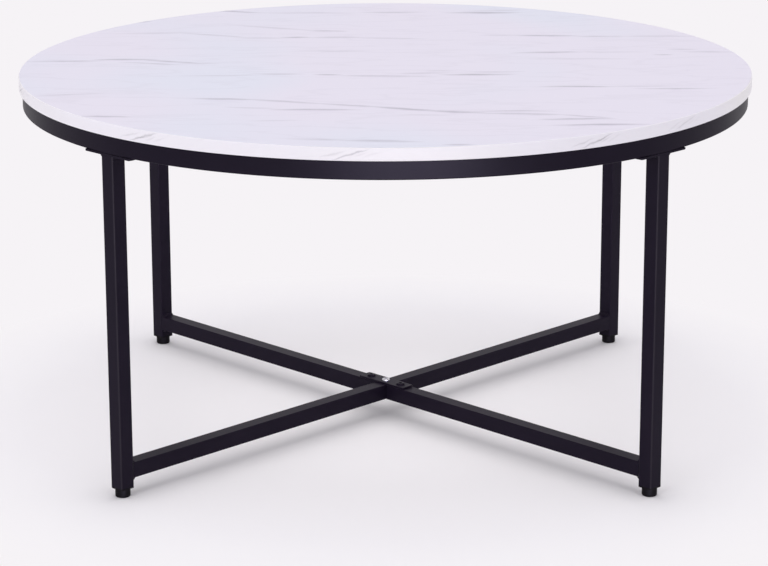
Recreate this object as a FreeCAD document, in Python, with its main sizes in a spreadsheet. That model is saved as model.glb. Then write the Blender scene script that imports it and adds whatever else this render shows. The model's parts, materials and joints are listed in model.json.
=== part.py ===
# Round cocktail table: a laminated round board on a rolled tube ring, four square tube legs,
# a low crossed stretcher and four levelling feet.
# Millimetres. +Z is up, -Y is the front, and the origin is on the floor under the middle of the top.
import FreeCAD, Part
import math
import os
import Sketcher
from FreeCAD import Placement, Rotation, Vector

# Driving dimensions. Each name becomes a cell of the sheet.
SIZES = {
    # the whole table
    "top_diameter": 900,
    "table_height": 450,
    # laminated board
    "top_thickness": 15,
    "laminate_thickness": 0.6,
    "edge_band_thickness": 1,
    # rolled ring
    "ring_setback": 4,
    "ring_section": 22,
    "ring_wall": 1.5,
    # legs
    "leg_section": 19,
    "leg_wall": 1.2,
    # outer corners of the straight tubes
    "tube_corner": 1.2,
    # plates on the leg tops
    "leg_plate_length": 78,
    "leg_plate_width": 20,
    "leg_plate_thickness": 2.5,
    "leg_screw_margin": 11,
    # stretchers
    "stretcher_section": 19,
    "stretcher_wall": 1.2,
    "stretcher_rise": 22,
    "crossing_gap": 0.5,
    # plate over the crossing
    "splice_length": 78,
    "splice_width": 19,
    "splice_thickness": 2.5,
    "splice_screw_margin": 13,
    # cropped corners of the flat plates
    "plate_crop": 2,
    # weld beads
    "weld_leg": 3,
    # low socket head screws, all of one thread
    "screw_diameter": 6,
    "screw_head_height": 2.2,
    "screw_key": 4,
    "screw_key_depth": 1.4,
    # those that run through leg plate and ring into the board
    "board_screw_head": 12,
    "board_screw_cover": 4,
    # those at the crossing
    "splice_screw_head": 11,
    "centre_bolt_head": 10,
    "splice_screw_reach": 11,
    # plugs in the leg ends
    "plug_flange_thickness": 2,
    "plug_insert_length": 15,
    # levelling feet
    "foot_diameter": 18,
    "foot_height": 10,
    "foot_floor": 3.5,
    "foot_gap": 0.2,
    "stud_diameter": 8,
    "stud_length": 25,
    # clearances, all radial
    "fit_clearance": 0.05,
    "running_clearance": 0.06,
    "screw_hole_clearance": 0.3,
    # how far a cut runs past the wall that it goes through
    "overrun": 1,
}

# Counts, and angles in degrees from +X towards +Y.
CORNERS = ("back_right", "back_left", "front_left", "front_right")
FIRST_LEG_ANGLE = 45
LEG_ANGLES = {corner: FIRST_LEG_ANGLE + 360 / len(CORNERS) * turn for turn, corner in enumerate(CORNERS)}
THROUGH_START = LEG_ANGLES["front_left"]
THROUGH_END = LEG_ANGLES["back_right"]
SPLICE_ANGLE = LEG_ANGLES["front_right"]
HALF_STRETCHERS = ("back_left", "front_right")
HEX_CORNERS = 6
HEX_FIRST_ANGLE = 30
BOTH_SIDES = (1, -1)

# Places and sizes worked out from the driving dimensions, as expressions.
TOP_RADIUS = "(sizes.top_diameter / 2)"
BOARD_RADIUS = f"({TOP_RADIUS} - sizes.edge_band_thickness)"
BOARD_THICKNESS = "(sizes.top_thickness - sizes.laminate_thickness)"
TOP_UNDERSIDE = "(sizes.table_height - sizes.top_thickness)"
RING_OUTSIDE = f"({TOP_RADIUS} - sizes.ring_setback)"
RING_CENTRE = f"({RING_OUTSIDE} - sizes.ring_section / 2)"
RING_UNDERSIDE = f"({TOP_UNDERSIDE} - sizes.ring_section)"
LEG_TOP = f"({RING_UNDERSIDE} - sizes.leg_plate_thickness)"
PLUG_UNDERSIDE = "(sizes.foot_height + sizes.foot_gap)"
LEG_FOOT = f"({PLUG_UNDERSIDE} + sizes.plug_flange_thickness)"
LEG_CENTRE = f"({RING_OUTSIDE} - sizes.leg_section / 2)"
LEG_INSIDE = "(sizes.leg_section - 2 * sizes.leg_wall)"
LEG_INNER_FACE = f"({LEG_CENTRE} - sizes.leg_section / 2)"
LEG_PLATE_CENTRE = f"({RING_OUTSIDE} - sizes.leg_plate_width / 2)"
SCREW_HOLE_RADIUS = "(sizes.screw_diameter / 2 + sizes.screw_hole_clearance)"
BOARD_SCREW_OFFSET = "(sizes.leg_plate_length / 2 - sizes.leg_screw_margin)"
BOARD_SCREW_RADIUS = f"sqrt({RING_CENTRE}^2 - {BOARD_SCREW_OFFSET}^2)"
BOARD_SCREW_BITE = f"({BOARD_THICKNESS} - sizes.board_screw_cover)"
BOARD_SCREW_LENGTH = f"(sizes.leg_plate_thickness + sizes.ring_section + {BOARD_SCREW_BITE})"
STRETCHER_TOP = "(sizes.stretcher_rise + sizes.stretcher_section)"
HALF_STRETCHER_START = "(sizes.stretcher_section / 2 + sizes.crossing_gap)"
SPLICE_TOP = f"({STRETCHER_TOP} + sizes.splice_thickness)"
SPLICE_SCREW_OFFSET = "(sizes.splice_length / 2 - sizes.splice_screw_margin)"
SPLICE_SCREW_LENGTH = "(sizes.splice_thickness + sizes.splice_screw_reach)"
TAPPED_HOLE_RADIUS = "(sizes.screw_diameter / 2 + sizes.fit_clearance)"
STUD_HOLE_RADIUS = "(sizes.stud_diameter / 2 + sizes.running_clearance)"
STUD_FOOT = "(sizes.foot_floor + sizes.running_clearance)"

document = FreeCAD.newDocument("cocktail_table")
sheet = document.addObject("Spreadsheet::Sheet", "sizes")
for row, (alias, value) in enumerate(SIZES.items(), start=1):
    sheet.set(f"A{row}", alias)
    sheet.set(f"B{row}", str(value))
    sheet.setAlias(f"B{row}", alias)
document.recompute()


# Numbers, places and turns

def number(expression):
    """The value of an expression, for the first position of sketch geometry."""
    return float(sheet.evalExpression(expression))


def polar(radius, angle, sideways="0"):
    """X and Y of a point at a radius along an angle, then sideways to its left."""
    x = f"({radius}) * cos({angle}) - ({sideways}) * sin({angle})"
    y = f"({radius}) * sin({angle}) + ({sideways}) * cos({angle})"
    return x, y


def turned(angle):
    """A turn about the vertical."""
    return Rotation(Vector(0, 0, 1), angle)


def tipped(angle):
    """A turn about the Y axis."""
    return Rotation(Vector(0, 1, 0), angle)


def place(piece, x="0", y="0", z="0", rotation=Rotation()):
    """Set a piece's turn and bind its position to the sheet."""
    piece.Placement = Placement(Vector(), rotation)
    for axis, expression in (("x", x), ("y", y), ("z", z)):
        if expression != "0":
            piece.setExpression(f"Placement.Base.{axis}", expression)


# Bodies and sketches

def new_body(label):
    body = document.addObject("PartDesign::Body", label)
    body.Label = label
    return body


def origin_feature(body, role):
    return next(feature for feature in body.Origin.OriginFeatures if feature.Role == role)


def new_sketch(body, name, plane="XY_Plane", height="0"):
    """A sketch on one of the body's own planes, raised along the plane's normal."""
    sketch = body.newObject("Sketcher::SketchObject", f"{body.Name}_{name}")
    sketch.AttachmentSupport = (origin_feature(body, plane), [""])
    sketch.MapMode = "FlatFace"
    if height != "0":
        sketch.setExpression("AttachmentOffset.Base.z", height)
    return sketch


def pin(sketch, geometry, point, direction, expression):
    """Bind one coordinate of a sketch point, measured from the sketch's origin."""
    if expression == "0":
        axis = -2 if direction == "DistanceX" else -1
        sketch.addConstraint(Sketcher.Constraint("PointOnObject", geometry, point, axis))
        return
    distance = Sketcher.Constraint(direction, -1, 1, geometry, point, number(expression))
    sketch.setExpression(f"Constraints[{sketch.addConstraint(distance)}]", expression)


def bind_radius(sketch, geometry, expression):
    radius = Sketcher.Constraint("Radius", geometry, number(expression))
    sketch.setExpression(f"Constraints[{sketch.addConstraint(radius)}]", expression)


def draw_circle(sketch, radius, x="0", y="0"):
    centre = Vector(number(x), number(y), 0)
    circle = sketch.addGeometry(Part.Circle(centre, Vector(0, 0, 1), number(radius)), False)
    pin(sketch, circle, 3, "DistanceX", x)
    pin(sketch, circle, 3, "DistanceY", y)
    bind_radius(sketch, circle, radius)


def draw_profile(sketch, corners):
    """A closed outline of straight edges, every corner bound to the sheet."""
    points = [Vector(number(x), number(y), 0) for x, y in corners]
    edges = []
    for start, end in zip(points, points[1:] + points[:1]):
        edges.append(sketch.addGeometry(Part.LineSegment(start, end), False))
    for before, edge, (x, y) in zip(edges[-1:] + edges[:-1], edges, corners):
        sketch.addConstraint(Sketcher.Constraint("Coincident", before, 2, edge, 1))
        pin(sketch, edge, 1, "DistanceX", x)
        pin(sketch, edge, 1, "DistanceY", y)


def edges_about(width, height, x, y):
    """The left, right, lower and upper edges of a rectangle about a centre."""
    return f"{x} - {width} / 2", f"{x} + {width} / 2", f"{y} - {height} / 2", f"{y} + {height} / 2"


def draw_rectangle(sketch, width, height, x="0", y="0"):
    left, right, low, high = edges_about(width, height, x, y)
    draw_profile(sketch, [(left, low), (right, low), (right, high), (left, high)])


def draw_cropped_rectangle(sketch, width, height, crop):
    """A rectangle about the origin whose corners are cut off at 45 degrees."""
    left, right, low, high = edges_about(width, height, "0", "0")
    corners = [
        (f"{left} + {crop}", low),
        (f"{right} - {crop}", low),
        (right, f"{low} + {crop}"),
        (right, f"{high} - {crop}"),
        (f"{right} - {crop}", high),
        (f"{left} + {crop}", high),
        (left, f"{high} - {crop}"),
        (left, f"{low} + {crop}"),
    ]
    draw_profile(sketch, corners)


def draw_rounded_rectangle(sketch, width, height, corner, x="0", y="0"):
    """A rectangle about a centre, its sides joined by tangent quarter circles."""
    left, right, low, high = edges_about(width, height, x, y)
    x0, x1, y0, y1 = (number(edge) for edge in (left, right, low, high))
    r = number(corner)
    runs = (
        ((x0 + r, y0), (x1 - r, y0)),
        ((x1, y0 + r), (x1, y1 - r)),
        ((x1 - r, y1), (x0 + r, y1)),
        ((x0, y1 - r), (x0, y0 + r)),
    )
    centres = ((x1 - r, y0 + r), (x1 - r, y1 - r), (x0 + r, y1 - r), (x0 + r, y0 + r))
    sides = [sketch.addGeometry(Part.LineSegment(Vector(*a, 0), Vector(*b, 0)), False) for a, b in runs]
    arcs = []
    for quarter, centre in enumerate(centres):
        circle = Part.Circle(Vector(*centre, 0), Vector(0, 0, 1), r)
        start = (quarter - 1) * math.pi / 2
        arcs.append(sketch.addGeometry(Part.ArcOfCircle(circle, start, start + math.pi / 2), False))
    for index, arc in enumerate(arcs):
        following = sides[(index + 1) % len(sides)]
        sketch.addConstraint(Sketcher.Constraint("Tangent", sides[index], 2, arc, 1))
        sketch.addConstraint(Sketcher.Constraint("Tangent", arc, 2, following, 1))
    for arc in arcs[1:]:
        sketch.addConstraint(Sketcher.Constraint("Equal", arcs[0], arc))
    bind_radius(sketch, arcs[0], corner)
    directions = ("Horizontal", "Vertical") * 2
    distances = ("DistanceY", "DistanceX") * 2
    for side, along, across, edge in zip(sides, directions, distances, (low, right, high, left)):
        sketch.addConstraint(Sketcher.Constraint(along, side))
        pin(sketch, side, 1, across, edge)


def draw_hexagon(sketch, across_flats):
    angles = [HEX_FIRST_ANGLE + 360 / HEX_CORNERS * corner for corner in range(HEX_CORNERS)]
    draw_profile(sketch, [polar(f"{across_flats} / sqrt(3)", angle) for angle in angles])


# Features

def add_feature(body, kind, sketch):
    feature = body.newObject(f"PartDesign::{kind}", f"{sketch.Name}_{kind.lower()}")
    feature.Profile = sketch
    return feature


def pad(body, sketch, length, downwards=False):
    feature = add_feature(body, "Pad", sketch)
    feature.Reversed = downwards
    feature.setExpression("Length", length)
    document.recompute()


def revolve(body, sketch):
    """A full turn of a sketch about its own vertical axis."""
    feature = add_feature(body, "Revolution", sketch)
    feature.ReferenceAxis = (sketch, ["V_Axis"])
    feature.Angle = 360
    document.recompute()


def pocket(body, sketch, depth, upwards=False):
    """Cut a sketch into the body, and make sure that something was cut."""
    before = body.Shape.Volume
    feature = add_feature(body, "Pocket", sketch)
    feature.Reversed = upwards
    feature.setExpression("Length", depth)
    document.recompute()
    if not body.Shape.Volume < before:
        raise RuntimeError(f"{feature.Name} cut nothing")
    return feature


def repeat_round(body, feature, count):
    """Copies of a feature all round the body's vertical axis."""
    pattern = body.newObject("PartDesign::PolarPattern", f"{feature.Name}_pattern")
    pattern.Originals = [feature]
    pattern.Axis = (origin_feature(body, "Z_Axis"), [""])
    pattern.Angle = 360
    pattern.Occurrences = count
    body.Tip = pattern
    document.recompute()


def group(label, master, places):
    """One node of separate, identical solids: links to a master, each at its place and turn."""
    links = []
    for index, (x, y, z, rotation) in enumerate(places):
        link = document.addObject("App::Link", f"{label}_{index}")
        link.LinkedObject = master
        place(link, x, y, z, rotation)
        links.append(link)
    compound = document.addObject("Part::Compound", label)
    compound.Label = label
    compound.Links = links
    return compound


# The laminated top

def make_disc(label, thickness, bottom):
    body = new_body(label)
    sketch = new_sketch(body, "outline")
    draw_circle(sketch, BOARD_RADIUS)
    pad(body, sketch, thickness)
    place(body, z=bottom)
    return body


def make_edge_band():
    """A hoop round the board and its printed sheet."""
    body = new_body("edge_band")
    sketch = new_sketch(body, "outline")
    draw_circle(sketch, TOP_RADIUS)
    draw_circle(sketch, BOARD_RADIUS)
    pad(body, sketch, "sizes.top_thickness")
    place(body, z=TOP_UNDERSIDE)
    return body


def make_top():
    decor_bottom = "sizes.table_height - sizes.laminate_thickness"
    return [
        make_disc("top_board", BOARD_THICKNESS, TOP_UNDERSIDE),
        make_disc("marble_laminate", "sizes.laminate_thickness", decor_bottom),
        make_edge_band(),
    ]


# The ring

def make_ring_frame():
    """A square tube rolled into a hoop, drilled right through for the board screws."""
    body = new_body("ring_frame")
    sketch = new_sketch(body, "section", "XZ_Plane")
    middle = {"x": RING_CENTRE, "y": "sizes.ring_section / 2"}
    inside = "(sizes.ring_section - 2 * sizes.ring_wall)"
    draw_rectangle(sketch, "sizes.ring_section", "sizes.ring_section", **middle)
    draw_rectangle(sketch, inside, inside, **middle)
    revolve(body, sketch)
    holes = new_sketch(body, "screw_holes")
    for side in BOTH_SIDES:
        draw_circle(holes, SCREW_HOLE_RADIUS, BOARD_SCREW_RADIUS, f"{side} * {BOARD_SCREW_OFFSET}")
    first_pair = pocket(body, holes, "sizes.ring_section + sizes.overrun", upwards=True)
    repeat_round(body, first_pair, len(LEG_ANGLES))
    place(body, z=RING_UNDERSIDE, rotation=turned(THROUGH_END))
    return body


# Legs and their plates

def make_tube(label, section, wall, length, plane="XY_Plane", middle="0"):
    """A square tube along the plane's normal, its centre raised to middle in the sketch."""
    body = new_body(label)
    sketch = new_sketch(body, "section", plane)
    inside = f"({section} - 2 * {wall})"
    draw_rounded_rectangle(sketch, section, section, "sizes.tube_corner", y=middle)
    draw_rectangle(sketch, inside, inside, y=middle)
    pad(body, sketch, length)
    return body


def make_leg(corner, angle):
    body = make_tube(f"leg_{corner}", "sizes.leg_section", "sizes.leg_wall", f"{LEG_TOP} - {LEG_FOOT}")
    place(body, *polar(LEG_CENTRE, angle), LEG_FOOT, turned(angle))
    return body


def make_leg_plate(corner, angle):
    """A flat bar across the leg's top, along the ring, with a screw hole near each end."""
    body = new_body(f"leg_plate_{corner}")
    sketch = new_sketch(body, "outline")
    draw_cropped_rectangle(sketch, "sizes.leg_plate_width", "sizes.leg_plate_length", "sizes.plate_crop")
    for side in BOTH_SIDES:
        hole = f"{BOARD_SCREW_RADIUS} - {LEG_PLATE_CENTRE}", f"{side} * {BOARD_SCREW_OFFSET}"
        draw_circle(sketch, SCREW_HOLE_RADIUS, *hole)
    pad(body, sketch, "sizes.leg_plate_thickness")
    place(body, *polar(LEG_PLATE_CENTRE, angle), LEG_TOP, turned(angle))
    return body


# The crossed stretcher

def make_stretcher(label, start_radius, start_angle, length, along, hole_distance):
    """A bar that starts on one radius and runs along an angle, with a tapped hole in its top wall."""
    body = make_tube(
        label, "sizes.stretcher_section", "sizes.stretcher_wall", length,
        plane="YZ_Plane", middle="sizes.stretcher_section / 2",
    )
    hole = new_sketch(body, "tapped_hole", height="sizes.stretcher_section")
    draw_circle(hole, TAPPED_HOLE_RADIUS, x=hole_distance)
    pocket(body, hole, "sizes.stretcher_wall + sizes.overrun")
    place(body, *polar(start_radius, start_angle), "sizes.stretcher_rise", turned(along))
    return body


def make_through_stretcher():
    length = f"2 * {LEG_INNER_FACE}"
    return make_stretcher(
        "through_stretcher", LEG_INNER_FACE, THROUGH_START, length, THROUGH_END, LEG_INNER_FACE
    )


def make_half_stretcher(corner):
    angle = LEG_ANGLES[corner]
    length = f"{LEG_INNER_FACE} - {HALF_STRETCHER_START}"
    hole_distance = f"{SPLICE_SCREW_OFFSET} - {HALF_STRETCHER_START}"
    return make_stretcher(
        f"half_stretcher_{corner}", HALF_STRETCHER_START, angle, length, angle, hole_distance
    )


def make_splice_plate():
    """The flat bar that bridges the through stretcher and joins the two halves."""
    body = new_body("splice_plate")
    sketch = new_sketch(body, "outline")
    draw_cropped_rectangle(sketch, "sizes.splice_length", "sizes.splice_width", "sizes.plate_crop")
    draw_circle(sketch, SCREW_HOLE_RADIUS)
    for side in BOTH_SIDES:
        draw_circle(sketch, SCREW_HOLE_RADIUS, x=f"{side} * {SPLICE_SCREW_OFFSET}")
    pad(body, sketch, "sizes.splice_thickness")
    place(body, z=STRETCHER_TOP, rotation=turned(SPLICE_ANGLE))
    return body


def make_stretchers():
    halves = [make_half_stretcher(corner) for corner in HALF_STRETCHERS]
    return [make_through_stretcher(), *halves, make_splice_plate()]


# Weld beads: flat fillets laid in the corners between two faces

def make_weld_master(label, length):
    body = new_body(label)
    sketch = new_sketch(body, "section", "XZ_Plane", height=f"-{length} / 2")
    draw_profile(sketch, [("0", "0"), ("sizes.weld_leg", "0"), ("0", "sizes.weld_leg")])
    pad(body, sketch, length)
    return body


def make_stretcher_welds():
    """A bead over and under each bar end, on the inner face of its leg."""
    places = []
    for angle in LEG_ANGLES.values():
        x, y = polar(LEG_INNER_FACE, angle)
        inwards = turned(angle + 180)
        places.append((x, y, STRETCHER_TOP, inwards))
        places.append((x, y, "sizes.stretcher_rise", inwards * tipped(90)))
    master = make_weld_master("stretcher_weld", "(sizes.stretcher_section - 2 * sizes.tube_corner)")
    return group("stretcher_welds", master, places)


def make_leg_plate_welds():
    """A bead under each plate, on both faces of the leg that look along the plate."""
    places = []
    for angle in LEG_ANGLES.values():
        for side in BOTH_SIDES:
            x, y = polar(LEG_CENTRE, angle, f"{side} * sizes.leg_section / 2")
            places.append((x, y, LEG_TOP, turned(angle + side * 90) * tipped(90)))
    master = make_weld_master("leg_plate_weld", "(sizes.leg_section - 2 * sizes.tube_corner)")
    return group("leg_plate_welds", master, places)


# Screws

def make_socket_screw(label, head_diameter, length):
    """A low head with a hex socket. The head sits on Z = 0 and the shank points down."""
    body = new_body(label)
    head = new_sketch(body, "head")
    draw_circle(head, f"{head_diameter} / 2")
    pad(body, head, "sizes.screw_head_height")
    shank = new_sketch(body, "shank")
    draw_circle(shank, "sizes.screw_diameter / 2")
    pad(body, shank, length, downwards=True)
    socket = new_sketch(body, "socket", height="sizes.screw_head_height")
    draw_hexagon(socket, "sizes.screw_key")
    pocket(body, socket, "sizes.screw_key_depth")
    return body


def make_board_screws():
    """Wood screws driven upwards: each head is under a leg plate and each point is in the board."""
    screw = make_socket_screw("board_screw", "sizes.board_screw_head", BOARD_SCREW_LENGTH)
    places = []
    for angle in LEG_ANGLES.values():
        for side in BOTH_SIDES:
            x, y = polar(BOARD_SCREW_RADIUS, angle, f"{side} * {BOARD_SCREW_OFFSET}")
            places.append((x, y, LEG_TOP, turned(angle) * tipped(180)))
    return group("board_screws", screw, places)


def make_crossing_screws():
    """The bright bolt in the middle of the splice plate and the dark screw in each half stretcher."""
    centre_bolt = make_socket_screw("centre_bolt", "sizes.centre_bolt_head", SPLICE_SCREW_LENGTH)
    place(centre_bolt, z=SPLICE_TOP)
    screw = make_socket_screw("splice_screw", "sizes.splice_screw_head", SPLICE_SCREW_LENGTH)
    places = []
    for corner in HALF_STRETCHERS:
        angle = LEG_ANGLES[corner]
        places.append((*polar(SPLICE_SCREW_OFFSET, angle), SPLICE_TOP, turned(angle)))
    return [centre_bolt, group("splice_screws", screw, places)]


# Levelling feet

def make_leg_plug(corner, angle):
    """A plug with a flange as wide as the leg and a threaded bore for the stud."""
    body = new_body(f"leg_plug_{corner}")
    flange = new_sketch(body, "flange")
    draw_rounded_rectangle(flange, "sizes.leg_section", "sizes.leg_section", "sizes.tube_corner")
    pad(body, flange, "sizes.plug_flange_thickness")
    insert = new_sketch(body, "insert", height="sizes.plug_flange_thickness")
    insert_width = f"({LEG_INSIDE} - 2 * sizes.fit_clearance)"
    draw_rectangle(insert, insert_width, insert_width)
    pad(body, insert, "sizes.plug_insert_length")
    bore = new_sketch(body, "bore")
    draw_circle(bore, STUD_HOLE_RADIUS)
    height = "sizes.plug_flange_thickness + sizes.plug_insert_length"
    pocket(body, bore, f"{height} + sizes.overrun", upwards=True)
    place(body, *polar(LEG_CENTRE, angle), PLUG_UNDERSIDE, turned(angle))
    return body


def make_foot_base(corner, angle):
    """A round foot with a blind hole for the stud."""
    body = new_body(f"foot_base_{corner}")
    outline = new_sketch(body, "outline")
    draw_circle(outline, "sizes.foot_diameter / 2")
    pad(body, outline, "sizes.foot_height")
    hole = new_sketch(body, "stud_hole", height="sizes.foot_height")
    draw_circle(hole, STUD_HOLE_RADIUS)
    pocket(body, hole, "sizes.foot_height - sizes.foot_floor")
    place(body, *polar(LEG_CENTRE, angle))
    return body


def make_foot_stud(corner, angle):
    """The stud that carries the foot and screws up into the plug."""
    body = new_body(f"foot_stud_{corner}")
    sketch = new_sketch(body, "outline")
    draw_circle(sketch, "sizes.stud_diameter / 2")
    pad(body, sketch, f"sizes.foot_height + sizes.stud_length - {STUD_FOOT}")
    place(body, *polar(LEG_CENTRE, angle), STUD_FOOT)
    return body


def make_corner(corner, angle):
    """Everything that repeats at each leg as a node of its own."""
    makers = (make_leg, make_leg_plate, make_leg_plug, make_foot_stud, make_foot_base)
    return [make(corner, angle) for make in makers]


# The whole table

nodes = [*make_top(), make_ring_frame()]
for leg_corner, leg_angle in LEG_ANGLES.items():
    nodes += make_corner(leg_corner, leg_angle)
nodes += make_stretchers()
nodes += [make_stretcher_welds(), make_leg_plate_welds(), make_board_screws()]
nodes += make_crossing_screws()
document.recompute()

for item in document.Objects:
    if {"Invalid", "Error"} & set(item.State):
        raise RuntimeError(f"{item.Label} failed: {item.State}")
for node in nodes:
    if node.Shape.isNull() or not node.Shape.isValid():
        raise RuntimeError(f"{node.Label} has no valid shape")

os.makedirs("parts", exist_ok=True)
for node in nodes:
    node.Shape.exportStep(f"parts/{node.Label}.step")
    print(node.Label, len(node.Shape.Solids), "solids", round(node.Shape.Volume), "mm3")
print(len(nodes), "nodes")
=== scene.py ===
# %% [markdown]
# # A low round table with a marble print top
#
# A CAD program has already measured this table out, piece by piece,
# and that frame fixes where everything is.
# The lesson gives each piece the rounded edges, threads and finishes that the drawing leaves out.
# All lengths are in metres, up is +Z, the front is -Y, and the origin is on the floor under the top.

# %% Load the frame
import json
import math
import bmesh
import bpy
import numpy as np
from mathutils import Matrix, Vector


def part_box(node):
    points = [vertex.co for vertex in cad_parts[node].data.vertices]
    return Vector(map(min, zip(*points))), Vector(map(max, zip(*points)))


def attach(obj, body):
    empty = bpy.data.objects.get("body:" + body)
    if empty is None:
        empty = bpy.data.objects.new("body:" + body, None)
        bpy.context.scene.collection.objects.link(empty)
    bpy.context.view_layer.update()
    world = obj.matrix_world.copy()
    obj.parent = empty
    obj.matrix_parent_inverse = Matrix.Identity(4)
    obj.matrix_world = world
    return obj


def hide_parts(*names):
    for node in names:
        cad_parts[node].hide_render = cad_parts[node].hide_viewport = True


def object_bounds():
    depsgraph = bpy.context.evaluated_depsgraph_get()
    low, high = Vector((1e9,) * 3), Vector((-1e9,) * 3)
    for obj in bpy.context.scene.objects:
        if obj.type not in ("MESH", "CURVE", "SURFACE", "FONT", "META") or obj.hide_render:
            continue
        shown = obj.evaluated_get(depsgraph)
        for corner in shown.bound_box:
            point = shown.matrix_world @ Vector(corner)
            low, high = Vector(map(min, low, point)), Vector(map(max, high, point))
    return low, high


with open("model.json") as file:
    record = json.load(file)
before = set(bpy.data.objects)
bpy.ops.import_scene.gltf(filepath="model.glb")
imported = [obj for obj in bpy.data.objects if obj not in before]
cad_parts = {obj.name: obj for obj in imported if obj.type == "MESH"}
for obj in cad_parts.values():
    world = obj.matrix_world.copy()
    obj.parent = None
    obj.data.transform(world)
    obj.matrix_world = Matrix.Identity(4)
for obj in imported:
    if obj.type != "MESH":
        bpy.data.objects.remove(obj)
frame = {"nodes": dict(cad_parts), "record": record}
cad_low, cad_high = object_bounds()
CORNERS = ("front_left", "front_right", "back_left", "back_right")
SLOTS = {part["node"]: part["material_slot"] for part in frame["record"]["subparts"]}
print(len(SLOTS), "pieces in the frame, from", list(cad_low), "to", list(cad_high))

# %% [markdown]
# ## From a grid of points to a mesh
#
# Every piece here is a bent sheet of points: rows one way, columns the other.
# A mesh could be modelled by hand from cubes and bevels, but a formula keeps each edge
# as round as the real one.
# The columns of a grid always run round and meet themselves.
# The rows either meet as well, as on a ring, or end in a row drawn together into one point,
# which closes the end.

# %% Faces and pieces
MERGE_DISTANCE = 1e-7
UP = np.array([0.0, 0.0, 1.0])
FLAT = 1 - UP
slot_of_piece = {}


def grid_faces(rows, columns, ring):
    """Each face joins a point to its neighbours in the next column and the next row."""
    index = np.arange(rows * columns).reshape(rows, columns)
    if ring:
        index = np.vstack([index, index[:1]])
    following = np.roll(index, -1, axis=1)
    corners = [index[:-1], following[:-1], following[1:], index[1:]]
    return np.stack(corners, axis=-1).reshape(-1, 4)


def close_seams(mesh):
    """Merges points that share a place and turns every face outwards."""
    work = bmesh.new()
    work.from_mesh(mesh)
    bmesh.ops.remove_doubles(work, verts=work.verts, dist=MERGE_DISTANCE)
    bmesh.ops.recalc_face_normals(work, faces=work.faces)
    work.to_mesh(mesh)
    work.free()


def make_piece(name, node, grids, ring=False, body="table", crease=35):
    """One object from one or more grids. It stands for its CAD node and moves with that node's body.

    Where two faces meet at more than crease degrees, the edge stays sharp."""
    starts = np.cumsum([0] + [grid.shape[0] * grid.shape[1] for grid in grids])
    points = np.concatenate([grid.reshape(-1, 3) for grid in grids])
    faces = [grid_faces(*grid.shape[:2], ring) + start for grid, start in zip(grids, starts)]
    mesh = bpy.data.meshes.new(name)
    mesh.from_pydata(points.tolist(), [], np.concatenate(faces).tolist())
    close_seams(mesh)
    mesh.shade_smooth()
    mesh.set_sharp_from_angle(angle=math.radians(crease))
    piece = bpy.data.objects.new(name, mesh)
    bpy.context.collection.objects.link(piece)
    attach(piece, body)
    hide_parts(node)
    slot_of_piece[piece] = SLOTS[node]
    print(name, "has", len(mesh.polygons), "faces")


def node_box(node):
    """The lowest and the highest corner of a CAD node's box."""
    low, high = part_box(node)
    return np.array(low), np.array(high)


# %% [markdown]
# ## Outlines and ways to carry them
#
# Tube, plate and banding all have the same outline: a rectangle with rounded corners.
# What differs is the path: round a circle for the ring, straight for a leg, stacked upwards for a plate.
# So one function draws the outline, and three short ones carry it.
# Smooth shading blends the normals of neighbouring faces, which would make a flat side look swollen.
# A holding point just past each end of a round corner keeps that blend inside a strip too thin to see.

# %% Outline and paths
HOLD = 0.00005


def rounded_outline(width, height, corners, steps=6):
    """Four quarter circles, each about its own corner's centre, anticlockwise from the upper right.

    corners is one radius, or four of them in that order. Each arc has a holding point before and after it,
    slid along the side that it meets."""
    quarter = np.pad(np.linspace(0, np.pi / 2, steps), 1, mode="edge")
    slide = np.tile(np.concatenate([[-HOLD], np.zeros(steps), [HOLD]]), 4)[:, None]
    radius = np.repeat(np.broadcast_to(corners, 4), len(quarter))[:, None]
    sign = np.repeat([(1, 1), (-1, 1), (-1, -1), (1, -1)], len(quarter), axis=0)
    turn = np.add.outer(np.arange(4) * np.pi / 2, quarter).ravel()
    centre = sign * (np.array([width, height]) / 2 - radius)
    outwards = np.stack([np.cos(turn), np.sin(turn)], axis=1)
    onwards = np.stack([-np.sin(turn), np.cos(turn)], axis=1)
    return centre + radius * outwards + slide * onwards


def carried_round(profile, steps):
    """A profile of (radius, height) turned about the upright axis: x = r cos a, y = r sin a, z = h."""
    angle = np.linspace(0, 2 * np.pi, steps, endpoint=False)[:, None]
    radius, height = profile.T
    height = np.broadcast_to(height, (steps, len(height)))
    return np.stack([radius * np.cos(angle), radius * np.sin(angle), height], axis=-1)


def straight_bar(start, end, outline, up):
    """The outline (u, v) carried from start to end: point = place + u * across + v * up.

    A row drawn into the middle closes each end."""
    run = end - start
    across = np.cross(run, up) / np.linalg.norm(run)
    section = outline[:, :1] * across + outline[:, 1:] * up
    place = np.stack([start, start, end, end])[:, None, :]
    spread = np.array([0, 1, 1, 0])[:, None, None]
    return place + spread * section


def soft_slab(outline, low, high, softness, steps=4):
    """Outlines stacked from low to high. At each face they draw in by softness along a quarter circle,
    and a holding outline lies just inside and just beyond that quarter circle."""
    turn = np.linspace(0, np.pi / 2, steps)
    drawn_in = np.concatenate([[softness + HOLD], softness * (1 - np.sin(turn)), [0]])
    lift = np.concatenate([[0], softness * (1 - np.cos(turn)), [softness + HOLD]])
    level = np.concatenate([[low], low + lift, (high - lift)[::-1], [high]])
    inset = np.concatenate([drawn_in, drawn_in[::-1]])[:, None, None]
    half = np.abs(outline).max(axis=0)
    stacked = outline * (1 - inset / half)
    closed = np.concatenate([np.zeros_like(stacked[:1]), stacked, np.zeros_like(stacked[:1])])
    height = np.broadcast_to(level[:, None, None], closed.shape[:2] + (1,))
    return np.concatenate([closed, height], axis=-1)


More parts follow.
